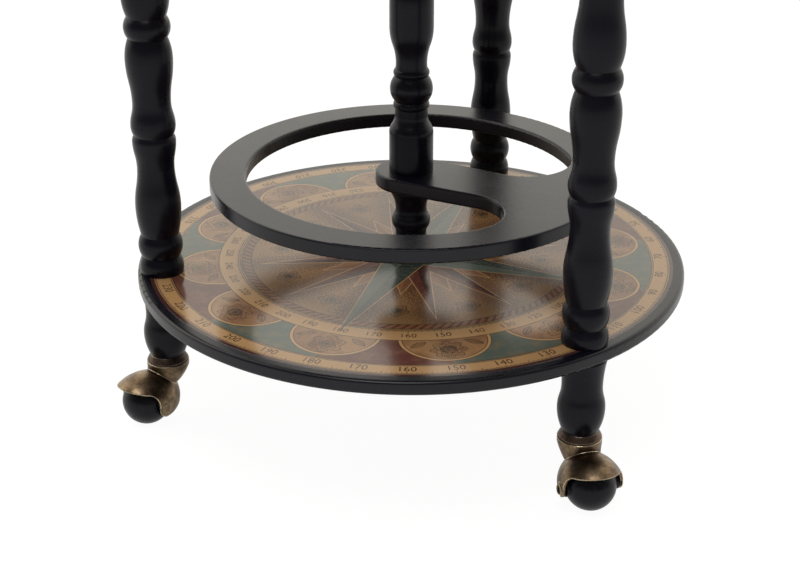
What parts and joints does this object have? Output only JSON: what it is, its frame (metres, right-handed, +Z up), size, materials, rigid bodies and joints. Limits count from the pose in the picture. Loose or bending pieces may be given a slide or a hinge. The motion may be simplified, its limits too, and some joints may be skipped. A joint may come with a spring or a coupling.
{
  "type": "floor globe bar",
  "caption": "Floor-standing globe bar: hinged globe with an inner bottle tray, carried on turned black legs over a printed round shelf, with a bottle ring and ball casters.",
  "frame": {"origin": "on the floor under the centre of the post", "axes": "+Z up, -Y to the front, +Y to the back where the lid's hinge and the rear leg are"},
  "size_m": [0.4499, 0.45, 0.7294],
  "materials": {
    "black_lacquer": "satin black lacquer",
    "shelf_paper": "printed paper under gloss lacquer",
    "horizon_paper": "printed paper under gloss lacquer",
    "globe_paper": "printed paper under satin varnish",
    "tray_wood": "stained and varnished",
    "antique_brass": "antiqued",
    "caster_black": "satin",
    "steel": "zinc plated"
  },
  "bodies": {
    "stand": {"shelf_board": "black_lacquer", "lower_spindle": "black_lacquer", "upper_spindle": "black_lacquer", "bottle_ring": "black_lacquer", "bowl_cradle": "black_lacquer", "horizon_ring": "black_lacquer", "leg_left": "black_lacquer", "leg_right": "black_lacquer", "leg_rear": "black_lacquer", "foot_left": "black_lacquer", "foot_right": "black_lacquer", "foot_rear": "black_lacquer", "shelf_print": "shelf_paper", "horizon_print": "horizon_paper", "bowl_shell": "globe_paper", "tray_board": "tray_wood", "tray_deck": "tray_wood", "tray_pillars": "tray_wood", "ring_dowels": "tray_wood", "hinge_fixed_leaf": "antique_brass", "hinge_pin": "antique_brass", "caster_cup_left": "antique_brass", "caster_cup_right": "antique_brass", "caster_cup_rear": "antique_brass", "leg_studs": "steel", "post_bolt": "steel", "bowl_bolt": "steel"},
    "lid": {"lid_shell": "globe_paper", "lid_hoop": "tray_wood", "pole_cap": "antique_brass", "hinge_lid_leaf": "antique_brass"},
    "swivel_left": {"caster_hood_left": "antique_brass", "caster_stem_left": "steel", "caster_axle_left": "antique_brass"},
    "ball_left": {"caster_ball_left": "caster_black"},
    "swivel_right": {"caster_hood_right": "antique_brass", "caster_stem_right": "steel", "caster_axle_right": "antique_brass"},
    "ball_right": {"caster_ball_right": "caster_black"},
    "swivel_rear": {"caster_hood_rear": "antique_brass", "caster_stem_rear": "steel", "caster_axle_rear": "antique_brass"},
    "ball_rear": {"caster_ball_rear": "caster_black"}
  },
  "joints": [
    {"name": "lid_hinge", "type": "hinge", "parent": "stand", "child": "lid", "pos_m": [0, 0.1716, 0.562], "axis": [-1, 0, 0], "range_deg": [0, 100]},
    {"name": "caster_swivel_left", "type": "hinge", "parent": "stand", "child": "swivel_left", "pos_m": [-0.17753, -0.1025, 0.04], "axis": [0, 0, 1], "continuous": true},
    {"name": "ball_roll_left", "type": "hinge", "parent": "swivel_left", "child": "ball_left", "pos_m": [-0.1869, -0.12568, 0.02], "axis": [0.9272, -0.3746, 0], "continuous": true},
    {"name": "caster_swivel_right", "type": "hinge", "parent": "stand", "child": "swivel_right", "pos_m": [0.17753, -0.1025, 0.04], "axis": [0, 0, 1], "continuous": true},
    {"name": "ball_roll_right", "type": "hinge", "parent": "swivel_right", "child": "ball_right", "pos_m": [0.19293, -0.1222, 0.02], "axis": [0.788, 0.6157, 0], "continuous": true},
    {"name": "caster_swivel_rear", "type": "hinge", "parent": "stand", "child": "swivel_rear", "pos_m": [0, 0.205, 0.04], "axis": [0, 0, 1], "continuous": true},
    {"name": "ball_roll_rear", "type": "hinge", "parent": "swivel_rear", "child": "ball_rear", "pos_m": [-0.02349, 0.19645, 0.02], "axis": [0.342, -0.9397, 0], "continuous": true}
  ]
}
